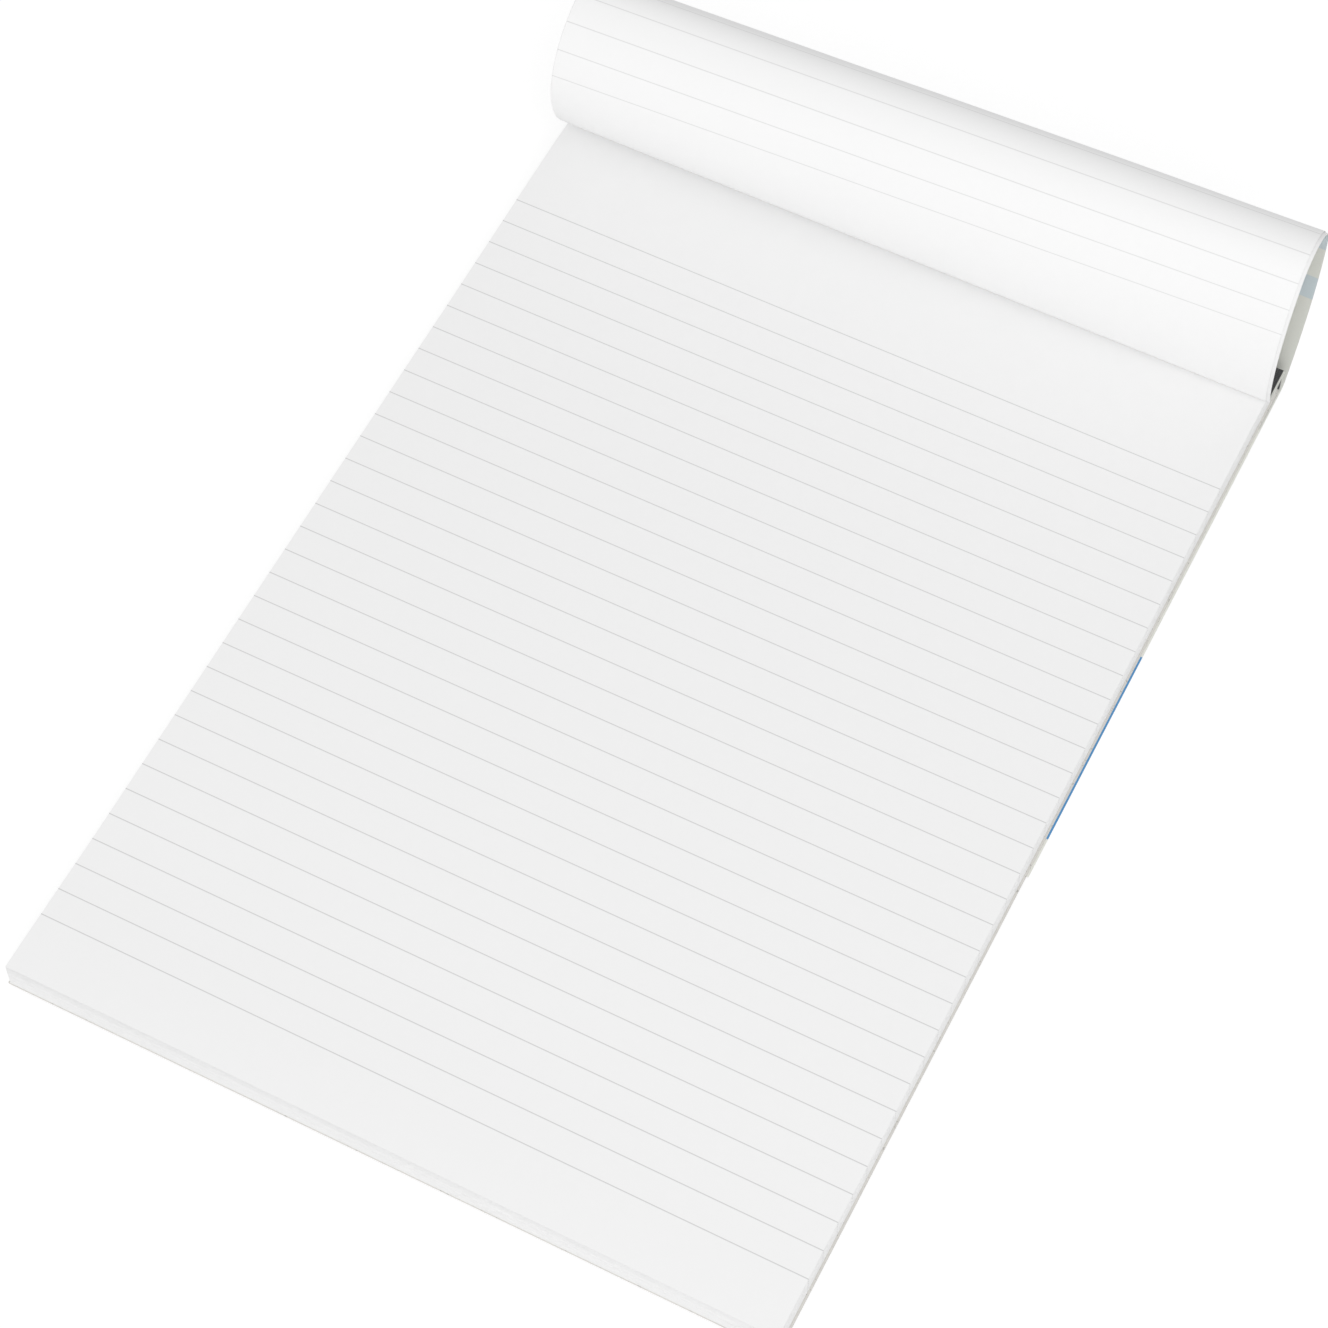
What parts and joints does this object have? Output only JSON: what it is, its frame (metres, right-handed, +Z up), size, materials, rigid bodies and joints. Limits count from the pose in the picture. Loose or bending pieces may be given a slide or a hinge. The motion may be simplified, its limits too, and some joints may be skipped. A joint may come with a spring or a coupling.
{
  "type": "ruled writing pad",
  "caption": "Ruled writing pad bound at its head with cloth tape, its front cover and first leaf rolled over the head in a wide loop and tucked under the back board.",
  "frame": {"origin": "middle of the whole part's footprint, on the surface it lies on", "axes": "+X to the pad's right as it is read, +Y from the near edge of the page towards the bound head, +Z up from the page"},
  "size_m": [0.2112, 0.3252, 0.0612],
  "materials": {
    "grey_board": "matt",
    "paper": "matt",
    "paper_leaf": "matt",
    "cover_card": "satin",
    "cloth_tape": "woven, matt",
    "wire": "bright"
  },
  "bodies": {
    "root": {"back_board": "grey_board", "page_block": "paper", "turned_leaf": "paper_leaf", "front_cover": "cover_card", "binding_tape": "cloth_tape", "staple_left": "wire", "staple_right": "wire"}
  },
  "joints": []
}
